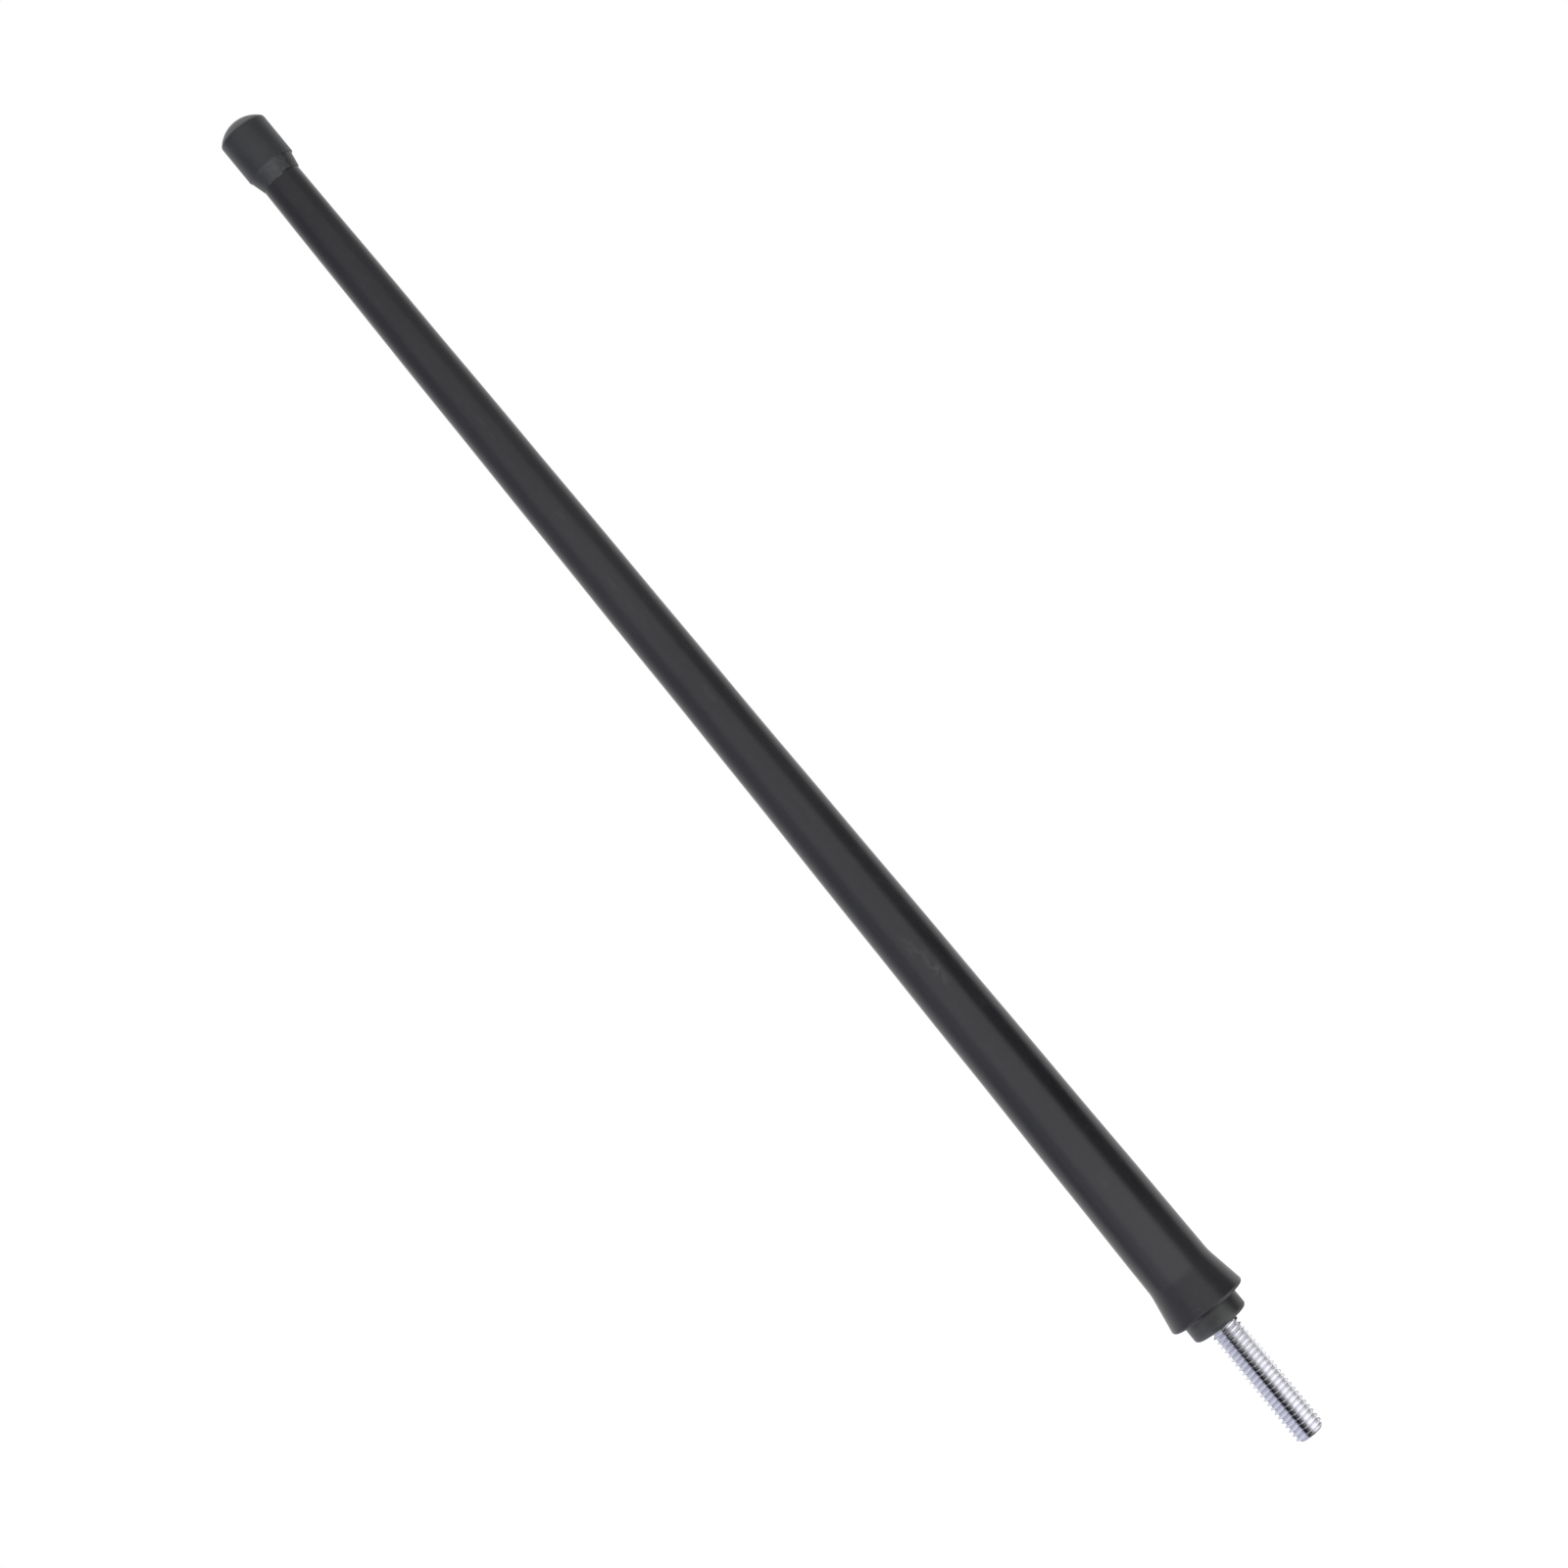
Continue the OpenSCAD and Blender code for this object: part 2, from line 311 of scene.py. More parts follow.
def sleeve_bore(s):
    """Section of the bore from the top down: shrink tube, ferrule with its grip grooves, collar."""
    bottom, top = low("mast_sleeve"), high("mast_sleeve")
    collar, ferrule = reach("base_collar") + s.bond, reach("ferrule") + s.bond
    barrel, tube = s.barrel_radius + s.bond, reach("shrink_tube") + s.bond
    foot, head = low("ferrule"), high("ferrule")
    section = [[tube, top], [tube, head], [s.nose_radius + s.bond, head], [barrel, head - s.nose_height]]
    for i in reversed(range(s.groove_count)):
        z = foot + s.flange_height + s.groove_pitch * (i + 0.5)
        rib = barrel - s.groove_depth
        z0, z1 = z + s.bond, z + s.groove_width - s.bond
        section += [[barrel, z1], [rib, z1], [rib, z0], [barrel, z0]]
    step = foot + s.flange_height + s.bond
    return section + [[barrel, step], [ferrule, step], [ferrule, foot], [collar, foot], [collar, bottom]]


def build_sleeve(s, material):
    """The tapered sleeve: flared foot, long taper, and the bore moulded round the ferrule and shrink tube."""
    bottom, top, rim = low("mast_sleeve"), high("mast_sleeve"), reach("mast_sleeve")
    knee = bottom + s.flare_height
    edge_top = bottom + s.rim_edge
    flare_rows = 40
    flare_z = np.linspace(edge_top, knee + 2 * s.flare_blend, flare_rows)
    flare = rim + (s.foot_radius - rim) * (flare_z - edge_top) / (knee - edge_top)
    long_taper = sleeve_taper(s, flare_z)
    # The larger of flare and taper with their corner filled, moved so that it starts at the rim
    softness = s.flare_blend / 8
    outer = long_taper + soft_floor(flare - long_taper, softness)
    outer -= soft_floor(rim - long_taper[0], softness) + long_taper[0] - rim
    mast_z = np.arange(flare_z[-1] + s.row_step, top, s.row_step)
    shift = outer[-1] - long_taper[-1]
    mast = sleeve_taper(s, mast_z) + shift * (1 - smooth_step(mast_z, knee, s.waist_height))
    inner = sleeve_bore(s)
    rim_arc = arc((rim - s.rim_edge, edge_top), s.rim_edge, -90, 0)
    outline = np.vstack([
        rim_arc[:-1],
        np.stack([outer, flare_z], axis=-1),
        np.stack([mast, mast_z], axis=-1),
        [[s.top_radius, top]],
        np.array(inner),
    ])
    radii, heights = outline[:, :1], outline[:, 1:]
    angles = ring_angles(s.columns)
    # The waves keep to the outside of the long taper, and die away at the flare and at the cap
    outside = (np.arange(len(outline)) < len(outline) - len(inner))[:, None]
    cap, flare_fade, cap_fade = low("tip_cap"), 8 * MM, 6 * MM
    fade = smooth_step(heights, knee, knee + flare_fade) * (1 - smooth_step(heights, cap - cap_fade, cap))
    radii = radii + s.ripple * 0.5 * slow_waves(heights, angles) * fade * outside
    piece = turned_ring("rubber_sleeve", radii, heights, s.columns)
    finish_piece(piece, "mast_sleeve", material)


def tear_mask(angles, left, right, rise, lean=0.0, soft=math.radians(1.2), fade=math.radians(25)):
    """1 from the left angle to the right one and 0 beyond.

    It fades in on the left. Its right edge leans by an angle over the neck's rise, with jags of two sines.
    """
    turn = (angles + math.pi) % (2 * math.pi) - math.pi
    jag = math.radians(0.6) * (np.sin(rise * 11) + 0.6 * np.sin(rise * 27 + 1))
    edge = right + lean * (rise - 0.5) + jag
    fade_in = smooth_step(turn, left, left + fade)
    return fade_in * (1 - smooth_step(turn, edge - soft, edge + soft))


def tear_jags(angles):
    """Ragged line along the torn edge: a few sines of the angle that don't repeat together."""
    return np.sin(9 * angles + 0.4) + 0.7 * np.sin(23 * angles + 1.3) + 0.5 * np.sin(47 * angles)


def build_cap(s, sleeve, material):
    """The tip cap: domed crown, straight side, ledge, and a thin neck with its torn skin."""
    top, lip, side = high("tip_cap"), low("tip_cap"), reach("tip_cap")
    shoulder = top - s.crown_height
    ledge = shoulder - s.side_height
    seat = high("mast_sleeve")
    taper = sleeve_taper(sleeve, np.array([lip, seat]))
    bore_lip, bore_top = taper[0] + sleeve.bond, sleeve.top_radius + sleeve.bond
    crown = (side**2 + s.crown_height**2) / (2 * s.crown_height)
    crown_z = top - crown
    edge_x = side - s.crown_edge
    edge_z = crown_z + math.sqrt((crown - s.crown_edge) ** 2 - edge_x**2)
    bend = math.degrees(math.atan2(edge_z - crown_z, edge_x))
    neck_top = side - s.ledge_width
    lip_edge = bore_lip + s.lip_wall
    corner, neck_step, side_step = 0.07 * MM, 0.09 * MM, 0.5 * MM
    bore = [[0, seat], [bore_top, seat], [bore_lip + 0.01 * MM, lip + 0.25 * MM], [bore_lip + 0.02 * MM, lip]]
    under = [lip_edge - s.lip_bevel, lip]
    neck = resample(np.array([under, [lip_edge, lip + s.lip_bevel], [neck_top, ledge]]), neck_step)
    straight = resample(np.array([[side, ledge + corner], [side, edge_z]]), side_step)
    outline = np.vstack([
        bore,
        neck,
        [[side - corner, ledge]],
        straight[:-1],
        arc((edge_x, edge_z), s.crown_edge, 0, bend, 6)[:-1],
        arc((0, crown_z), crown, bend, 90, 14),
    ])
    radii, heights = outline[:, :1], outline[:, 1:]
    angles = ring_angles(s.columns)
    row = np.arange(len(outline))[:, None]
    inner_lip, ledge_row = row == len(bore) - 1, row == len(bore) + len(neck)
    on_neck = (row >= len(bore)) & (row < len(bore) + len(neck))
    rise = np.clip((heights - lip) / (ledge - lip), 0, 1)
    lean = math.radians(5)
    torn = tear_mask(angles, s.tear_left, s.tear_right, rise, lean) * on_neck
    fill = tear_mask(angles, s.fill_left, s.tear_right, rise, lean, fade=math.radians(85))
    rag = tear_mask(angles, s.tear_left, s.rag_right, rise, math.radians(14), math.radians(3))
    # The skin tapers from the ledge to a feathered edge that lies on the sleeve
    feather = taper[0] + s.skin
    skin_top = side - s.ledge_width + fill * (s.ledge_width - s.skin_step)
    skin = feather + (skin_top - feather) * rise
    radii = radii + torn * (skin - radii)
    radii = radii - rag * inner_lip * (bore_lip - taper[0])
    radii = radii + fill * ledge_row * corner
    fall = rag * (1 - smooth_step(rise, 0, 0.35)) * (inner_lip | on_neck)
    hang = tear_mask(angles, math.radians(-80), s.rag_right, rise, fade=math.radians(60))
    sag = hang * (s.tear_drop + s.tear_jag * tear_jags(angles))
    heights = heights - fall * sag
    piece = turned_solid("tip_cap_rubber", radii, heights, s.columns)
    finish_piece(piece, "tip_cap", material, sharp=math.radians(32))


def build_collar(s, material):
    """The collar: a ring with a rounded lower edge and a softened hole."""
    bottom, top, side = low("base_collar"), high("base_collar"), reach("base_collar")
    outline = np.vstack([
        [[s.hole_radius, bottom + s.hole_edge], [s.hole_radius + s.hole_edge, bottom]],
        arc((side - s.edge, bottom + s.edge), s.edge, -90, 0, 10),
        [[side, top], [s.hole_radius, top]],
    ])
    piece = turned_ring("collar_ring", outline[:, :1], outline[:, 1:], s.columns)
    finish_piece(piece, "base_collar", material)


def thread_depth(place, pitch):
    """Depth of a 60 degree thread below its major radius, at a place from 0 to 1 within one pitch.

    It is a sharp V whose crest is cut off by an eighth of its height, and its root at a set depth. Both
    corners are rounded.
    """
    height = math.sqrt(3) / 2
    root, crest_rounding, root_rounding = 0.575, 0.028, 0.035
    depth = soft_floor(height * (1 - np.abs(2 * place - 1)) - height / 8, crest_rounding)
    return pitch * (root - soft_floor(root - depth, root_rounding))


def build_stud(s, material):
    """The stud: a right-hand thread with a plain shank inside the collar and a chamfer at each end.

    Row k at the angle a lies at z = bottom + pitch * (k / 16 - 2 + a / 2 pi), cut off at both end planes.
    """
    bottom, top, major = low("mast_stud"), high("mast_stud"), reach("mast_stud")
    per_pitch = 16
    place = np.arange(per_pitch) / per_pitch
    turns = math.ceil((top - bottom) / s.pitch) + 3
    row = np.arange(turns * per_pitch)
    angles = ring_angles(s.columns)
    climb = angles / (2 * math.pi)
    row_z = s.pitch * (row // per_pitch + place[row % per_pitch])[:, None]
    z = bottom - 2 * s.pitch + row_z + s.pitch * climb
    thread = major - thread_depth(place, s.pitch)[row % per_pitch][:, None]
    # The shank is as thick as the thread is where its ridges and gaps are equally wide
    shank = major - 0.3248 * s.pitch
    seat, neck = 0.0, low("ferrule")
    on_shank = smooth_step(z, seat, seat + s.runout) * (1 - smooth_step(z, neck, neck + s.runout))
    r = thread + (shank - thread) * on_shank
    z = np.clip(z, bottom, top)
    r = np.minimum(r, s.end_radius + np.minimum(z - bottom, top - z))
    points = turned_points(r, z, angles).reshape(-1, 3)
    i, j = np.meshgrid(row[:-per_pitch - 1], np.arange(s.columns), indexing="ij")
    wraps = (j == s.columns - 1) * per_pitch
    here, across = i * s.columns + j, (i + wraps) * s.columns + (j + 1) % s.columns
    faces = np.stack([here, across, across + s.columns, here + s.columns], axis=-1).reshape(-1, 4)
    piece = mesh_object("stud_thread", points, faces.tolist())
    close_ends(piece.data)
    finish_piece(piece, "mast_stud", material, sharp=math.radians(50))


def close_ends(mesh):
    """Merges the rows that were clamped to an end plane and closes the two round openings that they leave."""
    same_point, sliver = 2e-6, 1e-7
    work = bmesh.new()
    work.from_mesh(mesh)
    bmesh.ops.remove_doubles(work, verts=work.verts, dist=same_point)
    bmesh.ops.dissolve_degenerate(work, edges=work.edges, dist=sliver)
    open_edges = [e for e in work.edges if e.is_boundary]
    bmesh.ops.holes_fill(work, edges=open_edges, sides=0)
    loose = [v for v in work.verts if not v.link_faces]
    bmesh.ops.delete(work, geom=loose, context="VERTS")
    bmesh.ops.recalc_face_normals(work, faces=work.faces)
    work.to_mesh(mesh)
    work.free()


# Materials


class Wire:
    """One socket of a shader. Arithmetic on wires adds Math nodes to the same shader."""

    def __init__(self, tree, socket=None):
        self.tree = tree
        self.socket = socket

    def node(self, kind, settings=None, inputs=None, output=0):
        """Adds a node, sets its settings, then gives each socket its value or link. Returns one output."""
        made = self.tree.nodes.new(kind)
        for key, value in (settings or {}).items():
            setattr(made, key, value)
        for key, value in (inputs or {}).items():
            if isinstance(value, Wire):
                self.tree.links.new(value.socket, made.inputs[key])
            else:
                made.inputs[key].default_value = value
        return Wire(self.tree, made.outputs[output])

    def math(self, operation, second=0.0):
        """Any operation of the Math node, with this wire first."""
        return self.node("ShaderNodeMath", {"operation": operation}, {0: self, 1: second})

    def __add__(self, other):
        return self.math("ADD", other)

    __radd__ = __add__

    def __sub__(self, other):
        return self.math("SUBTRACT", other)

    def __rsub__(self, other):
        return self.node("ShaderNodeMath", {"operation": "SUBTRACT"}, {0: other, 1: self})

    def __mul__(self, other):
        return self.math("MULTIPLY", other)

    __rmul__ = __mul__

    def over(self, start, end, low_value=0.0, high_value=1.0):
        """Smooth rise from low_value at start to high_value at end."""
        return self.node(
            "ShaderNodeMapRange",
            {"interpolation_type": "SMOOTHSTEP", "clamp": True},
            {"Value": self, "From Min": start, "From Max": end, "To Min": low_value, "To Max": high_value},
        )

    def window(self, start, full, end, gone):
        """0 up to start, 1 from full to end, and 0 again beyond gone."""
        return self.over(start, full) * self.over(end, gone, 1.0, 0.0)

    def clamped(self):
        """This wire kept between 0 and 1."""
        return self.math("MAXIMUM", 0.0).math("MINIMUM", 1.0)

    def graph(self, stops):
        """Straight-line graph through stops of (value, level)."""
        first, last, most = stops[0][0], stops[-1][0], max(level for _, level in stops)
        ramp = self.node("ShaderNodeValToRGB", {}, {0: (self - first) * (1.0 / (last - first))})
        elements = ramp.socket.node.color_ramp.elements
        for k, (value, level) in enumerate(stops):
            place = (value - first) / (last - first)
            stop = elements[k] if k < 1 or k == len(stops) - 1 else elements.new(place)
            stop.position = place
            stop.color = (level / most,) * 3 + (1.0,)
        return ramp * most

    def near(self, place, width):
        """1 at a place and 0 a width away from it on either side."""
        return (self - place).math("ABSOLUTE").over(0.0, width, 1.0, 0.0)

    def noise(self, coordinates, scale, stretch=(1, 1, 1), detail=2.0):
        """Cloudy noise with so many lumps a metre, stretched along an axis by a small factor there."""
        placed = self.node("ShaderNodeMapping", {}, {"Vector": coordinates, "Scale": stretch})
        return self.node("ShaderNodeTexNoise", {}, {"Vector": placed, "Scale": scale, "Detail": detail})

    def blend(self, first, second):
        """Colour that goes from first to second as this wire goes from 0 to 1."""
        inputs = {0: self, 6: as_colour(first), 7: as_colour(second)}
        return self.node("ShaderNodeMix", {"data_type": "RGBA"}, inputs, output=2)

    def bump(self, height, distance, strength, normal=None):
        """Normal that the height lifts by so many metres."""
        inputs = {"Height": height, "Distance": distance, "Strength": strength}
        if normal:
            inputs["Normal"] = normal
        return self.node("ShaderNodeBump", {}, inputs)


def as_colour(value):
    """A colour with its alpha, or a wire as it is."""
    return value if isinstance(value, Wire) else (*value, 1.0)


def new_material(name):
    """An empty material with its surface shader, a start for wires, and object coordinates."""
    material = bpy.data.materials.new(name)
    material.use_nodes = True
    tree = material.node_tree
    shader = next(n for n in tree.nodes if n.type == "BSDF_PRINCIPLED")
    start = Wire(tree)
    return material, shader, start, start.node("ShaderNodeTexCoord", output=3)


def set_shader(shader, values):
    """Gives the surface shader's sockets their values or links."""
    for key, value in values.items():
        if isinstance(value, Wire):
            shader.id_data.links.new(value.socket, shader.inputs[key])
        else:
            shader.inputs[key].default_value = value


def axes(start, place):
    """The three object coordinates as wires."""
    split = start.node("ShaderNodeSeparateXYZ", {}, {0: place})
    parts = split.socket.node.outputs
    return [Wire(start.tree, parts[k]) for k in range(3)]


def turn_round(x, y):
    """Turn round the mast's axis in degrees: 0 in front, 90 to its right, -90 to its left, 180 behind it."""
    return x.math("ARCTAN2", 0.0 - y).math("DEGREES")


def rays(start, *kinds):
    """1 for a ray of one of these kinds, named as the Light Path node names them, and 0 for any other."""
    outputs = start.node("ShaderNodeLightPath").socket.node.outputs
    first, *others = [Wire(start.tree, outputs[kind]) for kind in kinds]
    for other in others:
        first = first.math("MAXIMUM", other)
    return first


# Wear on the front of the mast: height, side, length, width, strength. A strength under 0 darkens
MARKS = (
    (33.5 * MM, 0.4 * MM, 2.0 * MM, 1.6 * MM, 0.25),
    (81.0 * MM, 0.8 * MM, 6.0 * MM, 1.4 * MM, 0.60),
    (86.0 * MM, -0.2 * MM, 4.0 * MM, 1.2 * MM, 0.45),
    (116.0 * MM, 0.1 * MM, 3.5 * MM, 0.5 * MM, -0.60),
    (144.0 * MM, 0.8 * MM, 4.0 * MM, 0.9 * MM, 0.20),
    (148.0 * MM, -1.6 * MM, 2.5 * MM, 1.1 * MM, -0.45),
    (168.0 * MM, -0.2 * MM, 7.0 * MM, 0.8 * MM, 0.20),
    (184.0 * MM, 0.2 * MM, 9.0 * MM, 0.9 * MM, 0.18),
    (209.0 * MM, 0.0, 8.0 * MM, 0.7 * MM, 0.14),
)


def rubber(name, base, dusty, roughness):
    """Satin rubber: slow mottling, a fine moulded grain, pale dust specks, worn places and a painted shade
    line under the cap's lip.
    """
    material, shader, start, place = new_material(name)
    x, y, z = axes(start, place)
    clouds = start.noise(place, 130, (1, 1, 0.22), 3.0)
    fine = start.noise(place, 900, (1, 1, 0.6), 3.0)
    grain = start.noise(place, 5200, (1, 1, 1), 1.0)
    specks = start.noise(place, 2600, (1, 1, 1), 0.0).over(0.82, 0.88) * z.over(30 * MM, 70 * MM, 1.0, 0.3)
    front = y.over(-1.0 * MM, -0.5 * MM, 1.0, 0.0)
    tone_change = None
    for height, side, length, width, strength in MARKS:
        patch = z.near(height, length) * x.near(side, width) * strength
        tone_change = patch if tone_change is None else tone_change + patch
    tone_change = tone_change * front * fine.over(0.38, 0.62)
    # Paler towards the foot
    paler_foot = z.over(0.0, 60 * MM, 0.16, 0.0)
    dust = paler_foot + clouds.over(0.35, 0.75, 0.0, 0.14) + fine.over(0.5, 0.8, 0.0, 0.08)
    dust = (dust + specks * 0.5 + tone_change).clamped()
    # Painted shade: a dark line on the sleeve's front right, just under the cap's open lip
    lip = low("tip_cap")
    darkening = z.over(lip - 0.3 * MM, lip - 0.12 * MM) * x.over(1.4 * MM, 1.9 * MM) * front * 0.8
    set_shader(shader, {
        "Base Color": darkening.blend(dust.blend(base, dusty), (0.002, 0.002, 0.002)),
        "Roughness": roughness + (clouds - 0.5) * 0.12 + (fine - 0.5) * 0.08 + tone_change * 0.08,
        "Normal": start.bump(grain, 0.010 * MM, 0.5, start.bump(clouds, 0.10 * MM, 0.4)),
    })
    return material


def cap_rubber(name, base, dusty, neck_dust_and_glint, cap, roughness):
    """The cap's rubber: as the sleeve's, with pale streaks on the torn neck, painted highlights along its
    ragged lower edge and under the ledge, and painted shade under the open lip.
    """
    material, shader, start, place = new_material(name)
    x, y, z = axes(start, place)
    clouds = start.noise(place, 260, (1, 1, 0.6), 3.0)
    fine = start.noise(place, 1500, (1, 1, 1), 3.0)
    streaks = start.noise(place, 1300, (1, 1, 0.3), 2.0)
    grain = start.noise(place, 5200, (1, 1, 1), 1.0)
    lip, top = low("tip_cap"), high("tip_cap")
    ledge = top - cap.crown_height - cap.side_height
    front = y.over(-1.0 * MM, -2.5 * MM)
    on_neck = z.over(ledge + 0.15 * MM, ledge - 0.35 * MM)
    # Pale where the torn skin is stretched, with painted highlights along its lower edge and at two spots
    # under the ledge
    stretched = on_neck * x.window(-1.6 * MM, 0.2 * MM, 2.4 * MM, 3.1 * MM)
    frayed_and_glints = stretched * streaks.over(0.38, 0.66, 0.25, 0.75) + on_neck * fine.over(0.5, 0.7, 0.0, 0.25)
    frayed_and_glints = frayed_and_glints + z.near(lip - 0.2 * MM, 0.22 * MM) * x.over(2.0 * MM, 1.4 * MM) * 0.45
    for height, side in ((ledge - 0.35 * MM, 0.0), (ledge - 0.2 * MM, 0.85 * MM)):
        frayed_and_glints = frayed_and_glints + z.near(height, 0.22 * MM) * x.near(side, 0.3 * MM) * 0.9
    frayed_and_glints = (frayed_and_glints * front).clamped()
    dust = clouds.over(0.3, 0.75, 0.0, 0.6) + fine.over(0.55, 0.85, 0.0, 0.2)
    # Painted shade: a dark line along the open lip on the front right
    painted_lip_shade = z.over(lip + 0.24 * MM, lip + 0.1 * MM) * x.over(1.4 * MM, 1.9 * MM) * front
    set_shader(shader, {
        "Base Color": painted_lip_shade.blend(frayed_and_glints.blend(dust.blend(base, dusty), neck_dust_and_glint), (0.003, 0.003, 0.004)),
        "Specular IOR Level": 0.64,
        "Roughness": roughness + (clouds - 0.5) * 0.12 + frayed_and_glints * 0.1 + painted_lip_shade * 0.2,
        "Normal": start.bump(grain + frayed_and_glints * streaks * 2.0, 0.02 * MM, 0.5),
    })
    return material


def moulded(name, base, dusty, roughness):
    """Moulded black plastic with a satin skin, paler low down as painted light from below, and a painted dark
    band of shade on its right.
    """
    material, shader, start, place = new_material(name)
    x, y, z = axes(start, place)
    clouds = start.noise(place, 300, (1, 1, 1), 3.0)
    grain = start.noise(place, 4200, (1, 1, 1), 2.0)
    # Painted light from below: the collar paler towards its lower edge
    tone_change = z.over(0.2 * MM, 2.2 * MM, 0.9, 0.0)
    side = reach("base_collar")
    # Painted shade: a dark band down the collar's front right
    painted_dark_band = x.near(0.68 * side, 0.30 * side) * y.over(0.0, -0.2 * side) * z.over(-0.2 * MM, 1.1 * MM)
    plastic = (clouds.over(0.3, 0.7, 0.0, 0.6) + tone_change).blend(base, dusty)
    set_shader(shader, {
        "Base Color": painted_dark_band.blend(plastic, (0.001, 0.001, 0.001)),
        "Roughness": roughness + (clouds - 0.5) * 0.1 + painted_dark_band * 0.25,
        "Normal": start.bump(grain, 0.01 * MM, 0.4),
    })
    return material


def metal(name, base, worn, roughness, lumps=600, brushed=(1, 1, 1), darkening=None):
    """Metal with a slightly uneven colour and polish, and fine turning or drawing marks.

    Darkening gives a thread's roots a dull colour: (root radius, radius where it ends, colour).
    """
    material, shader, start, place = new_material(name)
    clouds = start.noise(place, lumps, (1, 1, 1), 3.0)
    marks = start.noise(place, 3000, brushed, 2.0)
    colour = clouds.over(0.3, 0.7, 0.0, 0.6).blend(base, worn)
    if darkening:
        x, y = axes(start, place)[:2]
        radius = (x * x + y * y).math("SQRT")
        colour = radius.over(darkening[0], darkening[1], 1.0, 0.0).blend(colour, darkening[2])
    set_shader(shader, {
        "Base Color": colour,
        "Metallic": 1.0,
        "Roughness": roughness + (clouds - 0.5) * 0.12 + (marks - 0.5) * 0.08,
        "Normal": start.bump(marks, 0.004 * MM, 0.35),
    })
    return material


def fibre(name, base, streak):
    """Glass-fibre rod: long pale fibres set in resin."""
    material, shader, start, place = new_material(name)
    fibres = start.noise(place, 2400, (1, 1, 0.02), 3.0)
    set_shader(shader, {
        "Base Color": fibres.over(0.35, 0.65).blend(base, streak),
        "Roughness": 0.32 + (fibres - 0.5) * 0.15,
        "Normal": start.bump(fibres, 0.01 * MM, 0.3),
    })
    return material


def shrink(name):
    """Shrink tube, slightly wavy over the turns under it."""
    material, shader, start, place = new_material(name)
    clouds = start.noise(place, 400, (1, 1, 0.5), 2.0)
    set_shader(shader, {
        "Base Color": clouds.over(0.3, 0.7).blend((0.012, 0.012, 0.013), (0.022, 0.022, 0.024)),
        "Roughness": 0.42 + (clouds - 0.5) * 0.1,
        "Normal": start.bump(clouds, 0.05 * MM, 0.4),
    })
    return material


# Stage


BLACK = (0.0, 0.0, 0.0)
WHITE = (1.0, 1.0, 1.0)
COOL = (0.93, 0.95, 1.08)


def stage_floor(s):
    """A pale floor below the stud's end, which the camera sees as white with the object's shadow on it."""
    level = low("mast_stud") - s.floor_drop
    half = s.floor_size / 2
    corners = [[-half, -half, level], [half, -half, level], [half, half, level], [-half, half, level]]
    floor = mesh_object("studio_floor", np.array(corners), [[0, 1, 2, 3]])
    material, shader, start, _ = new_material("studio_floor_white")
    set_shader(shader, {
        "Base Color": (0.88, 0.88, 0.88, 1.0),
        "Roughness": 0.9,
        "Specular IOR Level": 0.0,
        "Emission Color": as_colour(WHITE),
        "Emission Strength": rays(start, "Is Camera Ray", "Is Glossy Ray", "Is Transmission Ray") * 0.4,
    })
    floor.data.materials.append(material)
    # Gloss looks through the floor to the white room, which has no edge
    floor.visible_glossy = False


def stage_world(s):
    """White surroundings for the camera, a soft even light, and for gloss a white room with two curtains."""
    world = bpy.data.worlds.new("studio_room")
    bpy.context.scene.world = world
    world.use_nodes = True
    world.cycles.sampling_method = "NONE"
    start = Wire(world.node_tree)
    backdrop = next(n for n in world.node_tree.nodes if n.type == "BACKGROUND")
    camera = rays(start, "Is Camera Ray")
    mirrored = rays(start, "Is Glossy Ray", "Is Transmission Ray")
    x, y, z = axes(start, start.node("ShaderNodeTexCoord", output=0))
    turn = turn_round(x, y)
    # In front: brightest a little below level, dimmer above and below that, and brighter again high up
    front = 1.0 + z.near(-0.13, 0.17) * 0.55 - z.over(0.12, 0.28, 0.0, 0.45) - z.over(-0.38, -0.24, 0.15, 0.0)
    front = front + z.over(0.55, 0.75, 0.0, 0.35)
    left = turn.over(-52, -38, 0.60, 1.0) + turn.over(-102, -84, 0.26, 0.0)
    room = turn.math("ABSOLUTE").over(95, 125, front * left, 1.0)
    right_curtain = turn.window(38, 58, 98, 112) * z.window(-0.40, -0.30, 0.28, 0.42)
    right_curtain = right_curtain * z.over(0.02, 0.16, 1.0, 0.30)
    left_curtain = turn.window(-112, -96, -84, -66) * z.over(-0.045, -0.015, 0.62, 0.0)
    # A dark gap overhead, which the upper flanks of the stud's thread show
    overhead = turn.window(-64, -54, -24, -10) * z.over(0.34, 0.46) * z.over(0.75, 0.88, 0.97, 0.0)
    room = room * (1.0 - right_curtain) * (1.0 - left_curtain) * (1.0 - overhead)
    # Brighter overhead, brighter again low down as a white table is, and dark straight below
    room = room + z.over(0.75, 0.95, 0.0, 0.35) + z.over(-0.62, -0.36, 0.5, 0.0)
    room = room * z.over(-0.96, -0.86, 0.15, 1.0)
    strength = camera + (1.0 - camera) * (mirrored * (room - s.room) + s.room)
    cool = mirrored * turn.window(-120, -100, -50, -20)
    set_shader(backdrop, {"Strength": strength, "Color": cool.blend(WHITE, COOL)})


# Level of the band round the stud against the turn in degrees: of its low part, which the thread's lower
# flanks mirror, and of the rest. Between the two heights one goes over into the other
BAND_STEEP = (
    (-180, 0.76), (-135, 0.66), (-96, 0.93), (-55, 0.97), (-38, 0.07), (14, 0.05), (33, 1.00),
    (44, 1.50), (82, 1.46), (106, 0.74), (125, 0.52), (180, 0.52),
)
BAND_REST = (
    (-180, 0.76), (-135, 0.66), (-96, 0.90), (-52, 0.94), (-34, 0.10), (-22, 0.05), (-10, 0.05), (1, 0.17),
    (18, 0.68), (34, 1.30), (44, 1.55), (82, 1.48), (106, 0.74), (127, 0.52), (180, 0.52),
)
BAND_CHANGE = (-0.050, -0.042)


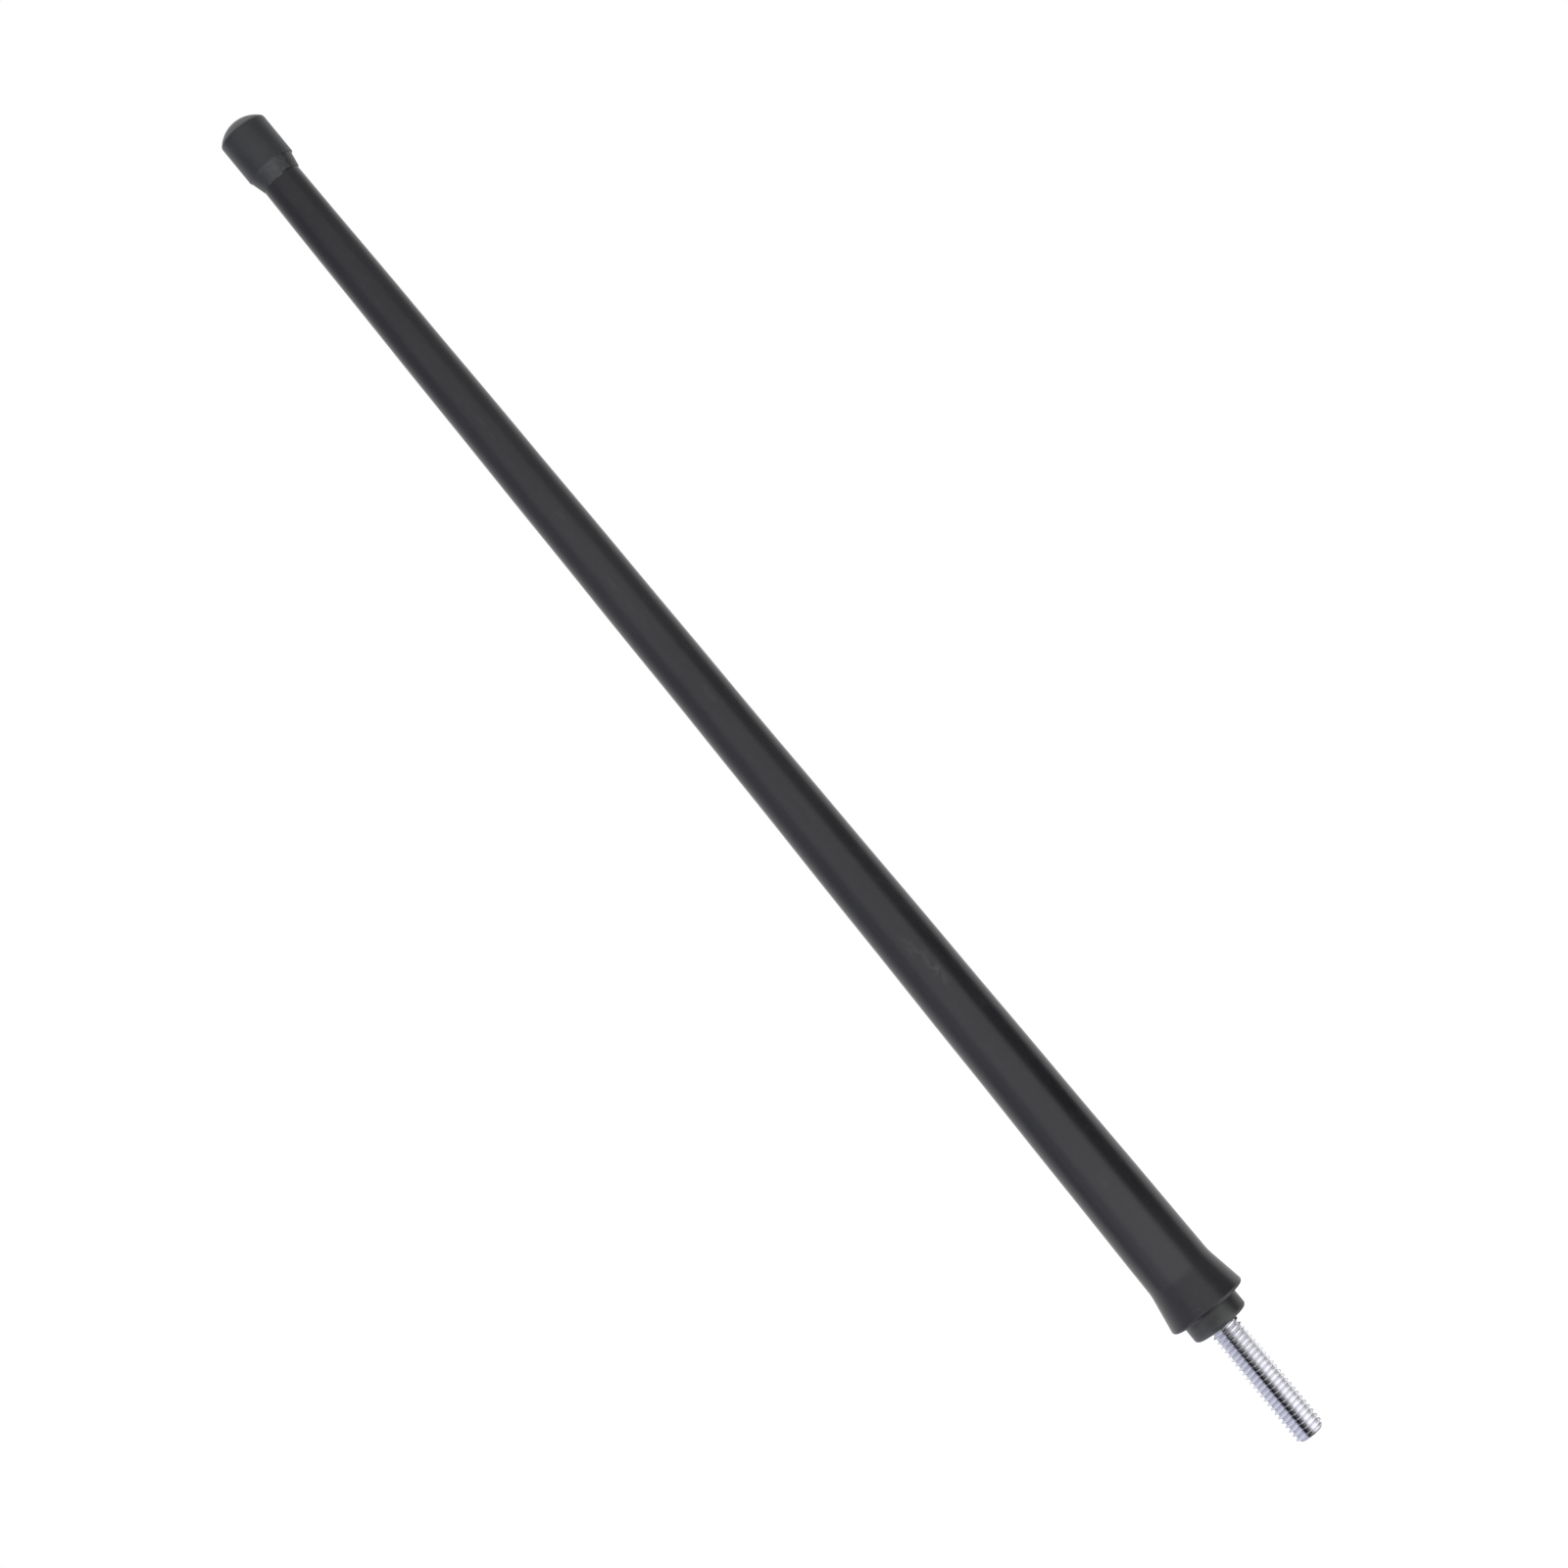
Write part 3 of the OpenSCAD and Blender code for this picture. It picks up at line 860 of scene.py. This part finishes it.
def stage_band(s):
    """A graded band close round the stud for gloss alone: grey on the left, a dark gap, white on the right.

    Points at (r sin a, -r cos a, z), with the angle a along one side and the height z along the other.
    """
    columns = 72
    points = turned_points(s.band_radius, np.array([[s.band_low], [s.band_high]]), ring_angles(columns))
    band = mesh_object("studio_band", points.reshape(-1, 3), quads(2, columns).reshape(-1, 4).tolist())
    material, shader, start, place = new_material("studio_band_light")
    x, y, z = axes(start, place)
    turn = turn_round(x, y)
    steep, rest = turn.graph(BAND_STEEP), turn.graph(BAND_REST)
    set_shader(shader, {
        "Base Color": as_colour(BLACK),
        "Specular IOR Level": 0.0,
        "Emission Color": turn.over(-50, -20).blend(COOL, WHITE),
        "Emission Strength": z.over(*BAND_CHANGE, 1.0, 0.0) * (steep - rest) + rest,
    })
    material.cycles.emission_sampling = "NONE"
    band.data.materials.append(material)
    only_gloss(band)


def curved_card(name, radius, edges, sides):
    """A black card round the mast's axis, which only gloss sees: points at (r sin a, -r cos a, z)."""
    columns = 31
    angles = np.radians(np.linspace(*sides, columns))
    points = turned_points(radius, np.array(edges)[:, None], angles).reshape(-1, 3)
    i = np.arange(columns - 1)
    card = mesh_object(name, points, np.stack([i, i + 1, i + 1 + columns, i + columns], axis=-1).tolist())
    material, shader, start, place = new_material(name + "_black")
    set_shader(shader, {"Base Color": as_colour(BLACK), "Specular IOR Level": 0.0})
    card.data.materials.append(material)
    only_gloss(card)
    return shader, start, place


def stage_cards(s):
    """A strip that darkens one line down the stud, and a see-through card for the foot's right side."""
    strip_low, strip_sides, card_sides, card_fade = -0.06, (-31, -20), (30, 120), 0.05
    curved_card("studio_strip", s.strip_radius, (strip_low, s.strip_high), strip_sides)
    shader, start, place = curved_card("studio_card", s.card_radius, (s.card_low, s.card_high), card_sides)
    x, y, z = axes(start, place)
    fade = z.over(s.card_high - card_fade, s.card_high, 1.0, 0.0)
    set_shader(shader, {"Alpha": turn_round(x, y).window(36, 60, 96, 114) * fade})


def only_gloss(piece):
    """Marks a piece of the studio that only mirrored rays meet."""
    piece.visible_camera = piece.visible_diffuse = piece.visible_shadow = piece.visible_transmission = False


# Soft lights: name, place, width, height, power and colour
LIGHTS = (
    ("key_softbox", (-0.45, -0.85, 0.25), 0.7, 0.9, 3.0, WHITE),
    ("right_softbox", (0.95, -0.25, 0.2), 0.35, 0.9, 1.0, (0.98, 0.98, 1.0)),
    ("top_softbox", (0.0, 0.15, 1.1), 0.8, 0.8, 1.5, WHITE),
)


def stage_lights(s):
    """Soft lights round the mast, each turned to its middle."""
    target = Vector((0, 0, s.aim_height))
    for name, place, width, height, power, tint in LIGHTS:
        data = bpy.data.lights.new(name, "AREA")
        data.shape = "RECTANGLE"
        data.size, data.size_y = width, height
        data.energy = power
        data.color = tint
        light = bpy.data.objects.new(name, data)
        light.location = place
        light.rotation_mode = "QUATERNION"
        light.rotation_quaternion = (target - Vector(place)).to_track_quat("-Z", "Y")
        light.visible_camera = False
        light.visible_glossy = False
        bpy.context.scene.collection.objects.link(light)


def stage_camera(s):
    """The camera in front of the mast, rolled so that the mast leans across the picture."""
    forward = Vector((0, math.cos(s.rise), math.sin(s.rise)))
    side = Vector((1, 0, 0))
    up = side.cross(forward)
    right = math.cos(s.roll) * side - math.sin(s.roll) * up
    lean = math.cos(s.roll) * up + math.sin(s.roll) * side
    place = Vector((s.aim_side, 0, s.aim_height)) - forward * s.distance
    turn = Matrix((right, lean, -forward)).transposed().to_4x4()
    data = bpy.data.cameras.new("photo_camera")
    data.lens, data.sensor_width = s.lens, 36.0
    data.clip_start, data.clip_end = 0.01, 50.0
    camera = bpy.data.objects.new("photo_camera", data)
    camera.matrix_world = Matrix.Translation(place) @ turn
    bpy.context.scene.collection.objects.link(camera)
    bpy.context.scene.camera = camera


# Operators


class AERIAL_OT_stage(Operator):
    """Adds the camera, the floor, the room, what the gloss mirrors and the soft lights"""

    bl_idname = "aerial.stage"
    bl_label = "Studio"

    def execute(self, context):
        s = context.scene.aerial_stage
        stage_camera(s)
        stage_floor(s)
        stage_world(s)
        stage_band(s)
        stage_cards(s)
        stage_lights(s)
        context.scene.view_settings.view_transform = "Standard"
        return {"FINISHED"}


class AERIAL_OT_sleeve(Operator):
    """Builds the tapered rubber sleeve"""

    bl_idname = "aerial.sleeve"
    bl_label = "Rubber Sleeve"

    def execute(self, context):
        material = rubber("mast_rubber", (0.0122, 0.0120, 0.0152), (0.061, 0.059, 0.063), 0.29)
        build_sleeve(context.scene.aerial_sleeve, material)
        return {"FINISHED"}


class AERIAL_OT_cap(Operator):
    """Builds the tip cap with the tear on its neck"""

    bl_idname = "aerial.cap"
    bl_label = "Tip Cap"

    def execute(self, context):
        scene = context.scene
        material = cap_rubber("cap_rubber", (0.0122, 0.0135, 0.0165), (0.024, 0.026, 0.030),
                              (0.043, 0.045, 0.050), scene.aerial_cap, 0.42)
        build_cap(scene.aerial_cap, scene.aerial_sleeve, material)
        return {"FINISHED"}


class AERIAL_OT_collar(Operator):
    """Builds the base collar"""

    bl_idname = "aerial.collar"
    bl_label = "Base Collar"

    def execute(self, context):
        material = moulded("collar_black", (0.029, 0.030, 0.031), (0.056, 0.058, 0.059), 0.33)
        build_collar(context.scene.aerial_collar, material)
        return {"FINISHED"}


class AERIAL_OT_stud(Operator):
    """Builds the threaded stud"""

    bl_idname = "aerial.stud"
    bl_label = "Threaded Stud"

    def execute(self, context):
        stud = context.scene.aerial_stud
        # The thread's roots are darker, and the darkening thins out a little above them
        root = reach("mast_stud") - 0.56 * stud.pitch
        material = metal("stud_plating", (0.84, 0.84, 0.88), (0.78, 0.78, 0.83), 0.12,
                         darkening=(root, root + 0.08 * stud.pitch, (0.55, 0.55, 0.60)))
        build_stud(stud, material)
        return {"FINISHED"}


class AERIAL_OT_inner(Operator):
    """Gives the pieces inside the sleeve their materials"""

    bl_idname = "aerial.inner"
    bl_label = "Inner Pieces"

    def execute(self, context):
        finishes = {
            "ferrule": metal("ferrule_brass", (0.74, 0.55, 0.22), (0.58, 0.42, 0.18), 0.26,
                             lumps=300, brushed=(0.05, 0.05, 1)),
            "solder_joint": metal("solder_tin", (0.62, 0.63, 0.65), (0.42, 0.43, 0.46), 0.34, lumps=1200),
            "core_rod": fibre("rod_glass_fibre", (0.70, 0.66, 0.48), (0.86, 0.84, 0.72)),
            "radiator_winding": metal("wire_copper", (0.78, 0.36, 0.18), (0.55, 0.22, 0.10), 0.22, lumps=500),
            "shrink_tube": shrink("shrink_black"),
        }
        for node, material in finishes.items():
            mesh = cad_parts[node].data
            mesh.materials.clear()
            mesh.materials.append(material)
        return {"FINISHED"}


class AERIAL_PT_panel(Panel):
    """Buttons for each group of pieces"""

    bl_idname = "AERIAL_PT_panel"
    bl_label = "Car Mast Aerial"
    bl_space_type = "VIEW_3D"
    bl_region_type = "UI"
    bl_category = "Aerial"

    def draw(self, context):
        for operator in OPERATORS:
            self.layout.operator(operator.bl_idname)


SETTINGS = {
    "aerial_sleeve": SleeveSettings,
    "aerial_cap": CapSettings,
    "aerial_collar": CollarSettings,
    "aerial_stud": StudSettings,
    "aerial_stage": StageSettings,
}
OPERATORS = (
    AERIAL_OT_stage, AERIAL_OT_sleeve, AERIAL_OT_cap, AERIAL_OT_collar, AERIAL_OT_stud, AERIAL_OT_inner,
)


def register():
    for group in SETTINGS.values():
        bpy.utils.register_class(group)
    for operator in OPERATORS:
        bpy.utils.register_class(operator)
    bpy.utils.register_class(AERIAL_PT_panel)
    for name, group in SETTINGS.items():
        setattr(bpy.types.Scene, name, PointerProperty(type=group))


def unregister():
    for name in SETTINGS:
        delattr(bpy.types.Scene, name)
    bpy.utils.unregister_class(AERIAL_PT_panel)
    for operator in reversed(OPERATORS):
        bpy.utils.unregister_class(operator)
    for group in reversed(SETTINGS.values()):
        bpy.utils.unregister_class(group)


def main():
    """Builds every piece and the studio."""
    register()
    bpy.ops.aerial.stage()
    bpy.ops.aerial.sleeve()
    bpy.ops.aerial.cap()
    bpy.ops.aerial.collar()
    bpy.ops.aerial.stud()
    bpy.ops.aerial.inner()


if __name__ == "__main__":
    main()
